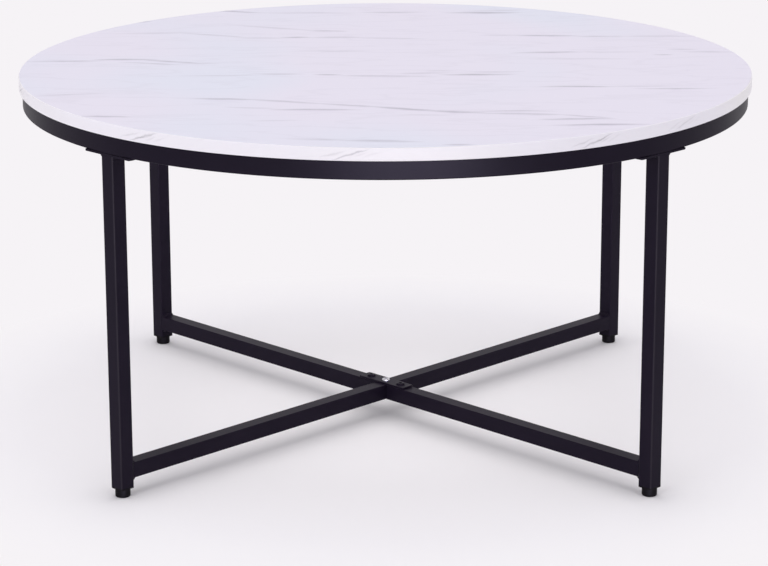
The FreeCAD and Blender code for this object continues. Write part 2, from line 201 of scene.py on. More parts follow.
def set_down(grid, along, place):
    """The grid turned about the upright axis until its x points along, then moved to place."""
    axes = np.stack([along, np.cross(UP, along), UP])
    return grid @ axes + place


print("an outline of", len(rounded_outline(2, 1, 0.1)), "points can be carried three ways")

# %% [markdown]
# ## The edge band
#
# The board's rim is covered by a printed plastic band, glued on and scraped round along its outer edges.
# A Bevel modifier on the CAD band would work, but a profile carried round the circle gives
# an even, smooth rim.
# The outer corners are well rounded and the glued side is almost square, so the joint stays tight.

# %% Edge band
BAND_ROUNDING = 0.0008
BAND_GLUED_CORNER = 0.00005
BAND_STEPS = 360

band_low, band_high = node_box("edge_band")
top_radius = band_high[0]
board_radius = node_box("top_board")[1][0]
band_thickness = top_radius - board_radius
band_height = band_high[2] - band_low[2]
band_corners = (BAND_ROUNDING, BAND_GLUED_CORNER, BAND_GLUED_CORNER, BAND_ROUNDING)
band_outline = rounded_outline(band_thickness, band_height, band_corners)
band_middle = [(top_radius + board_radius) / 2, (band_low[2] + band_high[2]) / 2]
band = carried_round(band_outline + band_middle, BAND_STEPS)
make_piece("rounded_edge_band", "edge_band", [band], ring=True)
print("band", round(band_thickness * 1000, 2), "mm thick and", round(band_height * 1000, 1), "mm high")

# %% [markdown]
# ## The rolled ring
#
# Square steel tube is rolled into a hoop, welded shut and coated.
# Drawn tube never has sharp corners: here they have a 1.2 mm radius, which keeps every edge soft.
# The same rounded outline is carried round the circle at the ring's own radius.

# %% Ring
TUBE_CORNER = 0.0012
RING_STEPS = 300

ring_low, ring_high = node_box("ring_frame")
ring_width = ring_high[2] - ring_low[2]
ring_middle = [ring_high[0] - ring_width / 2, (ring_low[2] + ring_high[2]) / 2]
ring_outline = rounded_outline(ring_width, ring_width, TUBE_CORNER) + ring_middle
make_piece("rolled_tube_ring", "ring_frame", [carried_round(ring_outline, RING_STEPS)], ring=True)
print("ring of", round(ring_width * 1000, 1), "mm tube,", round(ring_high[0] * 1000, 1), "mm in radius")

# %% [markdown]
# ## Legs and low bars
#
# The four legs are straight square tube, turned so that a flat side faces the middle of the table.
# The low bars run between those flat sides. One runs through, and the other is cut in two where they cross.
# Each is the tube's outline carried from one end to the other.

# %% Legs
LEG_WIDTH = 0.019

leg_ends = {corner: node_box(f"leg_{corner}") for corner in CORNERS}
leg_axis = {corner: (low + high) / 2 * FLAT for corner, (low, high) in leg_ends.items()}
outward = {corner: axis / np.linalg.norm(axis) for corner, axis in leg_axis.items()}
tube_outline = rounded_outline(LEG_WIDTH, LEG_WIDTH, TUBE_CORNER)
for corner, (low, high) in leg_ends.items():
    foot = leg_axis[corner] + UP * low[2]
    head = leg_axis[corner] + UP * high[2]
    leg = straight_bar(foot, head, tube_outline, outward[corner])
    make_piece(f"tube_leg_{corner}", f"leg_{corner}", [leg])
leg_top = high[2]
print("legs", round((high[2] - low[2]) * 1000, 1), "mm long")

# %% Low bars
CROSSING_GAP = 0.0005

bar_low, bar_high = node_box("through_stretcher")
bar_level = UP * (bar_low[2] + bar_high[2]) / 2
bar_end = {corner: leg_axis[corner] - outward[corner] * LEG_WIDTH / 2 + bar_level for corner in CORNERS}
through = straight_bar(bar_end["front_left"], bar_end["back_right"], tube_outline, UP)
make_piece("low_bar_through", "through_stretcher", [through])
for corner in ("back_left", "front_right"):
    near_crossing = outward[corner] * (LEG_WIDTH / 2 + CROSSING_GAP) + bar_level
    half = straight_bar(near_crossing, bar_end[corner], tube_outline, UP)
    make_piece(f"low_bar_half_{corner}", f"half_stretcher_{corner}", [half])
print("low bars at", round(bar_low[2] * 1000, 1), "mm above the floor")

# %% [markdown]
# ## Flat plates
#
# A small plate on each leg carries the ring, and another one over the crossing ties
# the two half bars together.
# They are cut from flat steel and tumbled, so their edges are soft.
# Outlines stacked upwards, drawn in near both faces, give that edge without a modifier.

# %% Plates
PLATE_CORNER = 0.002
PLATE_SOFTNESS = 0.0004
PLATE_LENGTH = 0.078
LEG_PLATE_WIDTH = 0.020
CROSSING_PLATE_WIDTH = 0.019

leg_plate_outline = rounded_outline(PLATE_LENGTH, LEG_PLATE_WIDTH, PLATE_CORNER)
sideways = {corner: np.cross(UP, outward[corner]) for corner in CORNERS}
for corner in CORNERS:
    low, high = node_box(f"leg_plate_{corner}")
    plate = soft_slab(leg_plate_outline, low[2], high[2], PLATE_SOFTNESS)
    placed = set_down(plate, sideways[corner], (low + high) / 2 * FLAT)
    make_piece(f"tumbled_leg_plate_{corner}", f"leg_plate_{corner}", [placed])

low, high = node_box("splice_plate")
crossing_outline = rounded_outline(PLATE_LENGTH, CROSSING_PLATE_WIDTH, PLATE_CORNER)
crossing_plate = soft_slab(crossing_outline, low[2], high[2], PLATE_SOFTNESS)
crossing_top = high[2]
along_plate = outward["front_right"]
make_piece("tumbled_crossing_plate", "splice_plate", [set_down(crossing_plate, along_plate, 0)])
print("plates", PLATE_LENGTH * 1000, "mm long")

# %% [markdown]
# ## Weld beads
#
# Short beads join the bars to the legs and the legs to their plates. A bead freezes in overlapping ripples.
# A plain wedge would read as a block, so the wedge's face swells a little and ripples along its length.

# %% Weld beads
WELD_LEG = 0.003
WELD_RIPPLES = 7
STEPS_PER_RIPPLE = 8
WELD_SWELL = 0.15
WELD_DEPTH = 0.08
WELD_FACE_STEPS = 9


def weld_bead(place, along, out, away):
    """A wedge in the corner between two faces, whose face swells and ripples.

    At s along and t round, the distance from the corner is leg / (cos t + sin t), which is a straight face,
    times 1 + swell sin 2t, times a ripple that is 1 at the crests."""
    length = LEG_WIDTH - 2 * TUBE_CORNER
    s = np.linspace(0, 1, STEPS_PER_RIPPLE * WELD_RIPPLES + 1)[:, None]
    t = np.linspace(0, np.pi / 2, WELD_FACE_STEPS)
    ripple = 1 - WELD_DEPTH * (1 - np.cos(2 * np.pi * WELD_RIPPLES * s)) / 2
    distance = WELD_LEG / (np.cos(t) + np.sin(t)) * (1 + WELD_SWELL * np.sin(2 * t)) * ripple
    distance = np.pad(distance, ((1, 1), (1, 0)))
    t = np.pad(t, (1, 0))
    s = np.pad(s[:, 0], 1, mode="edge")[:, None, None]
    corner_line = place + (s - 0.5) * length * along
    return corner_line + (distance * np.cos(t))[..., None] * out + (distance * np.sin(t))[..., None] * away


bar_beads = []
plate_beads = []
for corner in CORNERS:
    for lift in (1, -1):
        corner_place = bar_end[corner] + UP * lift * LEG_WIDTH / 2
        bar_beads.append(weld_bead(corner_place, sideways[corner], -outward[corner], UP * lift))
    for side in (1, -1):
        corner_place = leg_axis[corner] + sideways[corner] * side * LEG_WIDTH / 2 + UP * leg_top
        plate_beads.append(weld_bead(corner_place, outward[corner], sideways[corner] * side, -UP))
make_piece("bar_weld_beads", "stretcher_welds", bar_beads)
make_piece("plate_weld_beads", "leg_plate_welds", plate_beads)
print(len(bar_beads) + len(plate_beads), "beads")

# %% [markdown]
# ## Screws
#
# Every screw here has a low domed head with a hexagon socket. Eight come up through the leg plates
# and the ring and bite into the board, and three sit on the crossing.
# A cylinder with a hole cut into it would do from afar, but a dome shows one soft highlight,
# as a real head does.
# The whole screw is one grid: an angle one way, and a walk from the tip to the bottom of the socket
# the other way. On that walk a row is a circle, or a hexagon inside the socket.

# %% Screw shape
AROUND = np.linspace(0, 2 * np.pi, 72, endpoint=False)
SCREW_KEY = 0.004
SCREW_KEY_DEPTH = 0.0014
SCREW_FLAT = SCREW_KEY * 0.72
SCREW_HEAD = 0.0022
SCREW_RIM = 0.0007
SCREW_RADIUS = 0.003
DOME_STEPS = 10


def hexagon(key):
    """The radius at each angle: half the key width over the cosine of the turn from the nearest flat."""
    from_flat = (AROUND + np.pi / 6) % (np.pi / 3) - np.pi / 6
    return key / 2 / np.cos(from_flat)


def turned_grid(radius, height):
    """Rows of (radius, height), each row a ring of points round the upright axis."""
    radius, height, angle = np.broadcast_arrays(radius, height, AROUND)
    return np.stack([radius * np.cos(angle), radius * np.sin(angle), height], axis=-1)


def socket_screw(head_radius, length, point):
    """A tapered point, a shank, a dome with r = flat + (edge - flat) cos t and h = rim + (head - rim) sin t,
    and a hexagon sunk into the dome's flat."""
    t = np.linspace(0, np.pi / 2, DOME_STEPS)
    dome_radius = SCREW_FLAT + (head_radius - SCREW_FLAT) * np.cos(t)
    dome_height = SCREW_RIM + (SCREW_HEAD - SCREW_RIM) * np.sin(t)
    circles = np.concatenate([[0, SCREW_RADIUS, SCREW_RADIUS, head_radius], dome_radius])[:, None]
    socket = np.stack([hexagon(SCREW_KEY), hexagon(SCREW_KEY), np.zeros_like(AROUND)])
    radius = np.concatenate([circles * np.ones_like(AROUND), socket])
    sunk = SCREW_HEAD - SCREW_KEY_DEPTH
    height = np.concatenate([[-length, point - length, 0, 0], dome_height, [SCREW_HEAD, sunk, sunk]])
    return turned_grid(radius, height[:, None])


print("screw heads", SCREW_HEAD * 1000, "mm high")

# %% Screws into the board
BOARD_SCREW_OFFSET = 0.028
BOARD_SCREW_HEAD = 0.006
BOARD_SCREW_POINT = 0.007
UPSIDE_DOWN = np.array([1, -1, -1])

_, screw_high = node_box("board_screws")
board_screw = socket_screw(BOARD_SCREW_HEAD, screw_high[2] - leg_top, BOARD_SCREW_POINT) * UPSIDE_DOWN
board_screw_radius = math.sqrt(ring_middle[0] ** 2 - BOARD_SCREW_OFFSET ** 2)
board_screws = []
for corner in CORNERS:
    for side in (1, -1):
        under_plate = outward[corner] * board_screw_radius + sideways[corner] * side * BOARD_SCREW_OFFSET
        board_screws.append(set_down(board_screw, sideways[corner], under_plate + UP * leg_top))
make_piece("low_head_board_screws", "board_screws", board_screws)
print(len(board_screws), "board screws at", round(board_screw_radius * 1000, 1), "mm from the middle")

# %% Screws at the crossing
CROSSING_SCREW_OFFSET = 0.026
CROSSING_SCREW_HEAD = 0.0055
CROSSING_SCREW_POINT = 0.0006

bolt_low, bolt_high = node_box("centre_bolt")
bolt = socket_screw((bolt_high[0] - bolt_low[0]) / 2, crossing_top - bolt_low[2], CROSSING_SCREW_POINT)
make_piece("bright_centre_bolt", "centre_bolt", [set_down(bolt, along_plate, UP * crossing_top)])
side_screw = socket_screw(CROSSING_SCREW_HEAD, crossing_top - bolt_low[2], CROSSING_SCREW_POINT)
side_places = [along_plate * side * CROSSING_SCREW_OFFSET + UP * crossing_top for side in (1, -1)]
side_screws = [set_down(side_screw, along_plate, place) for place in side_places]
make_piece("dark_crossing_screws", "splice_screws", side_screws)
print("crossing screws", CROSSING_SCREW_OFFSET * 1000, "mm each side of the bolt")

# %% [markdown]
# ## Levelling feet
#
# Each leg ends in a plastic plug, and a foot on a threaded stud screws into it.
# The CAD stud is a plain rod. A real thread is a ridge that climbs one pitch in one turn,
# so the radius depends on height and angle together: that is a surface in two parameters.
# The foot is a turned profile with a soft lower edge.

# %% Threaded studs
THREAD_PITCH = 0.00125
THREAD_DEPTH = 0.0006
STEPS_PER_PITCH = 8


def threaded_stud(radius, low, high):
    """The radius falls from its full size by depth times a triangle wave of height / pitch - angle / turn."""
    steps = round((high - low) / THREAD_PITCH * STEPS_PER_PITCH)
    height = np.linspace(low, high, steps)[:, None]
    wave = np.abs(2 * ((height / THREAD_PITCH - AROUND / (2 * np.pi)) % 1) - 1)
    thread = np.pad(radius - THREAD_DEPTH * wave, ((1, 1), (0, 0)))
    return turned_grid(thread, np.pad(height, ((1, 1), (0, 0)), mode="edge"))


for corner in CORNERS:
    low, high = node_box(f"foot_stud_{corner}")
    stud = threaded_stud((high[0] - low[0]) / 2, low[2], high[2]) + leg_axis[corner]
    name = f"threaded_stud_{corner}"
    make_piece(name, f"foot_stud_{corner}", [stud], body=f"{corner}_stud", crease=80)
print("thread of", THREAD_PITCH * 1000, "mm pitch")

# %% Feet
FOOT_LOWER_EDGE = 0.0018
FOOT_UPPER_EDGE = 0.0008
FOOT_FLOOR = 0.0035
BORE_CLEARANCE = 0.00006


def quarter_round(radius, height, edge, first, steps=7):
    """A quarter circle about (radius, height), from the angle called first in quarter turns."""
    turn = (first + np.linspace(0, 1, steps)) * np.pi / 2
    return np.stack([radius + edge * np.cos(turn), height + edge * np.sin(turn)], axis=1)


def foot_profile(radius, height, bore):
    """Out along the floor, up the rounded side, in over the top and down the bore."""
    lower = quarter_round(radius - FOOT_LOWER_EDGE, FOOT_LOWER_EDGE, FOOT_LOWER_EDGE, -1)
    upper = quarter_round(radius - FOOT_UPPER_EDGE, height - FOOT_UPPER_EDGE, FOOT_UPPER_EDGE, 0)
    inside = [(bore, height), (bore, FOOT_FLOOR), (0, FOOT_FLOOR)]
    return np.concatenate([[(0, 0)], lower, upper, inside])


for corner in CORNERS:
    low, high = node_box(f"foot_base_{corner}")
    stud_low, stud_high = node_box(f"foot_stud_{corner}")
    bore = (stud_high[0] - stud_low[0]) / 2 + BORE_CLEARANCE
    radius, height = foot_profile((high[0] - low[0]) / 2, high[2], bore).T[:, :, None]
    foot = turned_grid(radius, height) + leg_axis[corner]
    make_piece(f"turned_foot_{corner}", f"foot_base_{corner}", [foot], body=f"{corner}_foot")
print(len(CORNERS), "feet", round((high[0] - low[0]) * 1000, 1), "mm across")

# %% [markdown]
# ## Sums on surfaces
#
# A finish is a sum over the surface: how dark is the vein here, how rough is the paint there.
# Wiring Math nodes by hand hides that sum, so a small class lets Python write it as an ordinary expression.
# Numbers alone stay in Python, and colours go through Mix, because a Math node would turn them grey.

# %% A value that does sums, and a finish that holds nodes
class Value:
    """A node's output, read as a number that changes over the surface. A sum on it adds a Math node."""

    def __init__(self, finish, socket):
        self.finish = finish
        self.socket = socket

    def work_out(self, operation, first, second=0.0):
        """A Math node on one or two values or numbers."""
        return self.finish.node("ShaderNodeMath", {"operation": operation}, {0: first, 1: second})

    def __add__(self, other):
        return self.work_out("ADD", self, other)

    def __radd__(self, other):
        return self.work_out("ADD", other, self)

    def __sub__(self, other):
        return self.work_out("SUBTRACT", self, other)

    def __rsub__(self, other):
        return self.work_out("SUBTRACT", other, self)

    def __mul__(self, other):
        return self.work_out("MULTIPLY", self, other)

    def __rmul__(self, other):
        return self.work_out("MULTIPLY", other, self)

    def __truediv__(self, other):
        return self.work_out("DIVIDE", self, other)

    def __rtruediv__(self, other):
        return self.work_out("DIVIDE", other, self)

    def __pow__(self, other):
        return self.work_out("POWER", self, other)

    def __rpow__(self, other):
        return self.work_out("POWER", other, self)

    def __abs__(self):
        return self.work_out("ABSOLUTE", self)

    def at_least(self, other):
        return self.work_out("MAXIMUM", self, other)

    def at_most(self, other):
        return self.work_out("MINIMUM", self, other)

    def as_share(self):
        """The value kept from 0 to 1."""
        return self.at_least(0).at_most(1)


class Finish:
    """The node tree of a material or of the world, with short ways to add to it."""

    def __init__(self, owner):
        owner.use_nodes = True
        self.owner = owner
        self.tree = owner.node_tree

    def feed(self, socket, value):
        """Links a value to the socket, or sets a number or colour on it."""
        if isinstance(value, Value):
            self.tree.links.new(value.socket, socket)
        else:
            socket.default_value = value

    def node(self, kind, settings=None, inputs=None, output=0):
        """Adds a node: first its settings, then a number, colour or link for each socket named."""
        node = self.tree.nodes.new(kind)
        for name, setting in (settings or {}).items():
            setattr(node, name, setting)
        for name, value in (inputs or {}).items():
            self.feed(node.inputs[name], value)
        return Value(self, node.outputs[output])

    def shade(self, sockets):
        """Sets or links sockets of the Principled shader."""
        for name, value in sockets.items():
            self.feed(self.tree.nodes["Principled BSDF"].inputs[name], value)

    def place(self):
        """Where a point is on the object, as a vector."""
        return self.node("ShaderNodeTexCoord", output="Object")

    def axes(self):
        """The same place as three values."""
        split = self.node("ShaderNodeSeparateXYZ", inputs={0: self.place()})
        return [Value(self, socket) for socket in split.socket.node.outputs]

    def noise(self, scale, detail=2.0, stretch=(1, 1, 1)):
        """Cloudy noise from 0 to 1. A larger stretch along an axis packs the clouds closer along it."""
        place = self.node("ShaderNodeVectorMath", {"operation": "MULTIPLY"}, {0: self.place(), 1: stretch})
        return self.node("ShaderNodeTexNoise", inputs={"Vector": place, "Scale": scale, "Detail": detail})

    def mix(self, factor, first, second):
        """A colour from first, where factor is 0, to second, where it is 1."""
        inputs = {0: factor, 6: first, 7: second}
        return self.node("ShaderNodeMix", {"data_type": "RGBA"}, inputs, output=2)

    def bump(self, height, strength, distance):
        """A normal tilted as if the surface rose by distance where height is 1."""
        inputs = {"Strength": strength, "Distance": distance, "Height": height}
        return self.node("ShaderNodeBump", inputs=inputs)


def new_finish(name):
    """A new material, ready for nodes."""
    return Finish(bpy.data.materials.new(name))


def colour(red, green, blue):
    """A colour as it looks on a screen, 0 to 255, turned into the light that a shader wants."""
    seen = np.array([red, green, blue]) / 255
    light = np.where(seen <= 0.04045, seen / 12.92, ((seen + 0.055) / 1.055) ** 2.4)
    return (*light.tolist(), 1.0)


print("a mid grey of 128 is", round(colour(128, 128, 128)[0], 3), "of full light")

# %% [markdown]
# ## The marble print
#
# The top is a printed sheet: a cool white ground, bluish in places, with long soft grey veins that all lie
# across the table, each dark in its middle and thinning to nothing at both ends.
# Stretched noise alone gives an even crowd of veins. A print has a few, well apart, so each is listed
# as a stroke from one point to another, with a width and a depth.
# Noise then bends and frays the strokes and breaks them into fibres. Between them, thin contours of a slow
# noise give faint veins, and stretched noise gives the grain.

# %% Strokes of the print
TIP_SHARE = 0.3
VEIN_STROKES = [
    # from x, from y, to x, to y, half width, depth, starting at the back of the table
    (-0.25, 0.393, -0.16, 0.374, 0.010, 0.80),
    (-0.19, 0.377, -0.03, 0.373, 0.012, 0.30),
    (-0.04, 0.378, 0.06, 0.377, 0.011, 0.55),
    (0.075, 0.372, 0.19, 0.375, 0.012, 0.85),
    (0.10, 0.384, 0.20, 0.398, 0.012, 0.30),
    (-0.345, 0.304, -0.31, 0.312, 0.008, 0.75),
    (-0.21, 0.284, -0.09, 0.241, 0.011, 0.40),
    (-0.11, 0.241, -0.045, 0.239, 0.008, 0.80),
    (-0.36, 0.223, -0.24, 0.230, 0.010, 0.40),
    (-0.28, 0.231, -0.17, 0.189, 0.010, 0.45),
    (-0.20, 0.190, -0.12, 0.189, 0.009, 0.45),
    (-0.14, 0.194, -0.09, 0.194, 0.008, 0.85),
    (-0.11, 0.193, -0.02, 0.193, 0.009, 0.55),
    (-0.05, 0.191, 0.06, 0.180, 0.009, 0.40),
    (0.12, 0.208, 0.18, 0.207, 0.008, 0.40),
    (0.16, 0.207, 0.26, 0.202, 0.010, 0.85),
    (0.24, 0.198, 0.32, 0.197, 0.009, 0.55),
    (0.30, 0.197, 0.41, 0.197, 0.010, 0.40),
    (-0.11, 0.102, -0.01, 0.101, 0.007, 0.40),
    (0.155, 0.086, 0.26, 0.089, 0.009, 0.75),
    (0.23, 0.089, 0.34, 0.091, 0.009, 0.30),
    (0.355, 0.109, 0.40, 0.105, 0.007, 0.50),
    (0.37, 0.093, 0.445, 0.088, 0.010, 0.40),
    (0.335, 0.071, 0.365, 0.073, 0.006, 0.70),
    (0.17, 0.045, 0.32, 0.044, 0.009, 0.30),
    (-0.46, 0.034, -0.34, 0.038, 0.009, 0.65),
    (-0.37, 0.045, -0.28, 0.044, 0.009, 0.90),
    (-0.32, 0.047, -0.22, 0.018, 0.008, 0.75),
    (-0.335, 0.029, -0.25, 0.011, 0.007, 0.60),
    (-0.26, 0.020, -0.20, 0.020, 0.006, 0.45),
    (-0.26, -0.055, -0.15, -0.050, 0.008, 0.35),
    (-0.165, -0.044, -0.095, -0.045, 0.009, 0.60),
    (-0.09, -0.050, -0.05, -0.051, 0.007, 0.85),
    (-0.07, -0.057, 0.06, -0.063, 0.009, 0.60),
    (0.01, -0.045, 0.08, -0.040, 0.008, 0.60),
    (0.045, -0.029, 0.085, -0.028, 0.006, 0.45),
    (0.06, -0.054, 0.165, -0.049, 0.009, 0.90),
    (0.095, -0.036, 0.175, -0.036, 0.007, 0.50),
    (0.18, -0.125, 0.28, -0.125, 0.008, 0.85),
    (0.25, -0.123, 0.35, -0.121, 0.007, 0.35),
    (0.29, -0.137, 0.40, -0.136, 0.006, 0.75),
    (-0.42, -0.173, -0.33, -0.158, 0.010, 0.35),
    (-0.235, -0.185, -0.14, -0.199, 0.009, 0.80),
    (-0.17, -0.194, -0.06, -0.226, 0.009, 0.65),
    (-0.09, -0.218, 0.01, -0.243, 0.009, 0.70),
    (-0.02, -0.238, 0.065, -0.260, 0.011, 0.95),
    (0.04, -0.258, 0.12, -0.270, 0.010, 0.85),
    (0.095, -0.262, 0.205, -0.264, 0.007, 0.60),
    (0.09, -0.270, 0.22, -0.284, 0.009, 0.65),
    (0.195, -0.281, 0.26, -0.306, 0.008, 0.60),
    (0.17, -0.305, 0.265, -0.307, 0.008, 0.80),
    (-0.19, -0.237, -0.12, -0.249, 0.008, 0.40),
    (-0.14, -0.254, -0.02, -0.256, 0.009, 0.80),
    (0.18, -0.337, 0.31, -0.334, 0.009, 0.85),
    (-0.355, -0.284, -0.285, -0.288, 0.008, 0.75),
    (-0.11, -0.405, -0.03, -0.414, 0.009, 0.40),
    (-0.06, -0.413, 0.045, -0.421, 0.011, 0.65),
    (0.06, -0.433, 0.10, -0.433, 0.007, 0.75),
    (0.01, -0.281, 0.08, -0.281, 0.006, 0.30),
    (-0.16, -0.311, -0.09, -0.309, 0.006, 0.30),
]


def stroke_mask(along, across, stroke):
    """How dark a stroke is at a point, 0 to its depth.

    The share of the way from end to end gives a hump, 4 share (1 - share), that narrows and fades both ends.
    The tips keep a share of the full width. The distance from the line, over the width there, gives
    a soft edge."""
    from_along, from_across, to_along, to_across, half_width, depth = stroke
    run = to_along - from_along
    slope = (to_across - from_across) / run
    share = (along - from_along) / run
    hump = ((share - share * share) * 4).at_least(0)
    off_line = abs(across - along * slope - (from_across - from_along * slope))
    width_here = hump * half_width * (1 - TIP_SHARE) + half_width * TIP_SHARE
    edge = (1 - off_line / width_here).at_least(0)
    return edge ** 2 * hump * depth


def darkest(masks):
    """The strongest of several masks at each point."""
    strongest, *others = masks
    for mask in others:
        strongest = strongest.at_least(mask)
    return strongest


print(len(VEIN_STROKES), "strokes in the marble print")

# %% Marble face
MARBLE_GROUND = colour(228, 224, 238)
MARBLE_BLUE = colour(223, 225, 239)
MARBLE_VEIN = colour(163, 158, 174)
BEND_REACH = 0.014
FRAY_REACH = 0.007
FAINT_DEPTH = 0.07
GRAIN_DEPTH = 0.2

marble_print = new_finish("marble_face_print")
across_table, into_table, _ = marble_print.axes()
bend = marble_print.noise(scale=7, detail=2, stretch=(1, 1.6, 1)) - 0.5
fray = marble_print.noise(scale=40, detail=4, stretch=(1, 3, 1)) - 0.5
bent_depth = into_table + bend * BEND_REACH + fray * FRAY_REACH
veins = darkest([stroke_mask(across_table, bent_depth, stroke) for stroke in VEIN_STROKES])
fibres = marble_print.noise(scale=18, detail=3, stretch=(1, 16, 1))
grain = marble_print.noise(scale=9, detail=5, stretch=(1, 40, 1))
clouds = marble_print.noise(scale=3.5, detail=1, stretch=(1, 0.8, 1))
contours = abs(marble_print.noise(scale=5, detail=4, stretch=(1, 4.5, 1)) - 0.5)
faint_veins = (1 - contours * 30).at_least(0) * FAINT_DEPTH
shade_of_vein = veins * (fibres * 0.9 + 0.5) + faint_veins + (grain - 0.55).at_least(0) * GRAIN_DEPTH
ground = marble_print.mix(((clouds - 0.42) * 5).as_share(), MARBLE_GROUND, MARBLE_BLUE)
marble_print.shade({
    "Base Color": marble_print.mix(shade_of_vein.at_most(1), ground, MARBLE_VEIN),
    "Roughness": 0.44 + (marble_print.noise(scale=60, detail=3) - 0.5) * 0.10,
    "Specular IOR Level": 0.25,
    "Normal": marble_print.bump(marble_print.noise(scale=700, detail=2), strength=0.15, distance=0.00005),
})
print("marble print uses", len(marble_print.tree.nodes), "nodes")

# %% [markdown]
# ## The printed band
#
# The band is whiter than the top, and its print has small groups of fine grey lines that climb to the right.
# The band is a strip, so its pattern is laid out by the length round the rim and the height.
# The angle from the middle gives that length, and the strokes use the same rule as the veins.

# %% Edge band print
BAND_WHITE = colour(242, 240, 247)
BAND_CREAM = colour(241, 239, 240)
BAND_VEIN = colour(168, 165, 172)
BAND_GROUPS = [
    # degrees round the rim from the front, and how dark the group is
    (-37, 0.9), (-5, 0.85), (31.2, 1.0), (49, 0.5), (84, 0.8), (121, 0.6),
    (149, 1.0), (188, 0.7), (226, 0.9), (251, 0.5), (283, 1.0),
]
BAND_CLIMB = 0.30
LINE_HALF_WIDTH = 0.0026
WANDER_REACH = 0.006
GROUP_LINES = [
    # place along the rim from the group's middle, length and depth
    (-0.018, 0.034, 0.40), (0.001, 0.044, 1.00), (0.012, 0.018, 0.30), (0.024, 0.022, 0.20),
]

band_print = new_finish("edge_band_print")
across_table, into_table, band_level = band_print.axes()
turn_from_front = across_table.work_out("ARCTAN2", across_table, 0 - into_table)
round_rim = turn_from_front * top_radius
wander = (band_print.noise(scale=90, detail=3) - 0.5) * WANDER_REACH
height_on_band = band_level - (band_low[2] + band_high[2]) / 2 + wander
line_masks = []
for group, darkness in BAND_GROUPS:
    group_middle = math.radians((group + 180) % 360 - 180) * top_radius
    for offset, length, depth in GROUP_LINES:
        start = group_middle + offset - length / 2
        rise = BAND_CLIMB * length
        line = (start, -rise / 2, start + length, rise / 2, LINE_HALF_WIDTH, depth * darkness)
        line_masks.append(stroke_mask(round_rim, height_on_band, line))
lines = darkest(line_masks)
broken = band_print.noise(scale=55, detail=3, stretch=(1, 1, 3))
creamy = ((band_print.noise(scale=4, detail=1) - 0.45) * 4).as_share()
band_ground = band_print.mix(creamy, BAND_WHITE, BAND_CREAM)
band_print.shade({
    "Base Color": band_print.mix((lines * (broken * 1.2 + 0.2)).at_most(1), band_ground, BAND_VEIN),
    "Roughness": 0.42 + (band_print.noise(scale=80, detail=3) - 0.5) * 0.12,
    "Specular IOR Level": 0.15,
    "Normal": band_print.bump(band_print.noise(scale=500, detail=2), strength=0.15, distance=0.00005),
})
print("band print uses", len(band_print.tree.nodes), "nodes")

# %% [markdown]
# ## Black powder coat
#
# The frame is sprayed with powder that melts into a satin black film with a faint purple cast.
# The film has a gentle orange peel and is a little shinier where it flowed out well.
# Fine noise in the bump and slow noise in the roughness give both.
# A faint pale line is painted down each corner of the two front legs. It is a painted highlight, standing in
# for the light that their rounded corners catch. It lies where a point is as far from the leg's axis as the
# corner is.

# %% Powder coat
COAT_BLACK = colour(23, 18, 31)
COAT_LIFTED = colour(30, 24, 38)
# The colour of the painted highlight, and the half width of its line.
COAT_HIGHLIGHT = colour(46, 42, 50)
HIGHLIGHT_LINE = 0.0007

powder_coat = new_finish("satin_black_powder_coat")
flow = powder_coat.noise(scale=14, detail=3)
peel = powder_coat.noise(scale=420, detail=2)
across_table, into_table, level = powder_coat.axes()
beside_axis = abs(across_table) - leg_axis["front_right"][0]
before_axis = into_table - leg_axis["front_right"][1]
from_axis = (beside_axis * beside_axis + before_axis * before_axis) ** 0.5
corner_distance = LEG_WIDTH / math.sqrt(2) - TUBE_CORNER * (math.sqrt(2) - 1)
on_corner = (1 - abs(from_axis - corner_distance) / HIGHLIGHT_LINE).at_least(0)
on_leg = level.work_out("LESS_THAN", level, leg_top)
# Painted highlight on the front legs' corners, made patchy by the flow noise.
painted_highlight = on_corner * on_leg * (flow + 0.5)
coat = powder_coat.mix(flow, COAT_BLACK, COAT_LIFTED)
powder_coat.shade({
    "Base Color": powder_coat.mix(painted_highlight.at_most(1), coat, COAT_HIGHLIGHT),
    "Roughness": 0.34 + flow * 0.10 + (peel - 0.5) * 0.08,
    "Specular IOR Level": 0.05,
    "Normal": powder_coat.bump(peel, strength=0.35, distance=0.00012),
})
print("powder coat uses", len(powder_coat.tree.nodes), "nodes")

# %% [markdown]
# ## Bright zinc
#
# The centre bolt and the studs are zinc plated: bright, slightly blue, with a soft mottled shine.
# The plating follows the steel's own tool marks, so fine stretched noise drives the bump.

# %% Zinc
ZINC_BRIGHT = colour(226, 226, 230)
ZINC_DULL = colour(196, 197, 202)

zinc = new_finish("bright_zinc")
mottle = zinc.noise(scale=160, detail=3)
zinc.shade({
    "Base Color": zinc.mix(mottle, ZINC_BRIGHT, ZINC_DULL),
    "Metallic": 1.0,
    "Roughness": 0.20 + mottle * 0.18,
    "Normal": zinc.bump(zinc.noise(scale=900, detail=2, stretch=(1, 1, 6)), strength=0.2, distance=0.00004),
})
print("zinc uses", len(zinc.tree.nodes), "nodes")

# %% [markdown]
# ## Moulded plastic and the backed board
#
# Plugs and feet are black plastic from a spark-eroded mould, which leaves a very fine even grain.
# The underside of the board carries a pale backing paper, which keeps a board with a printed face
# from bowing. Wood fibres show through such a paper as faint flecks and shallow bumps,
# so one stretched noise drives both.

# %% Plastic
PLASTIC_BLACK = colour(13, 10, 15)
PLASTIC_WORN = colour(24, 20, 27)

plastic = new_finish("moulded_black_plastic")
spark_grain = plastic.noise(scale=1500, detail=2)
scuff = plastic.noise(scale=120, detail=4)
plastic.shade({
    "Base Color": plastic.mix(((scuff - 0.5) * 3).as_share(), PLASTIC_BLACK, PLASTIC_WORN),
    "Roughness": 0.48 + spark_grain * 0.16,
    "Specular IOR Level": 0.08,
    "Normal": plastic.bump(spark_grain, strength=0.3, distance=0.00005),
})
print("plastic uses", len(plastic.tree.nodes), "nodes")

# %% Backing paper
PAPER_PALE = colour(226, 222, 215)
PAPER_FLECK = colour(198, 191, 181)

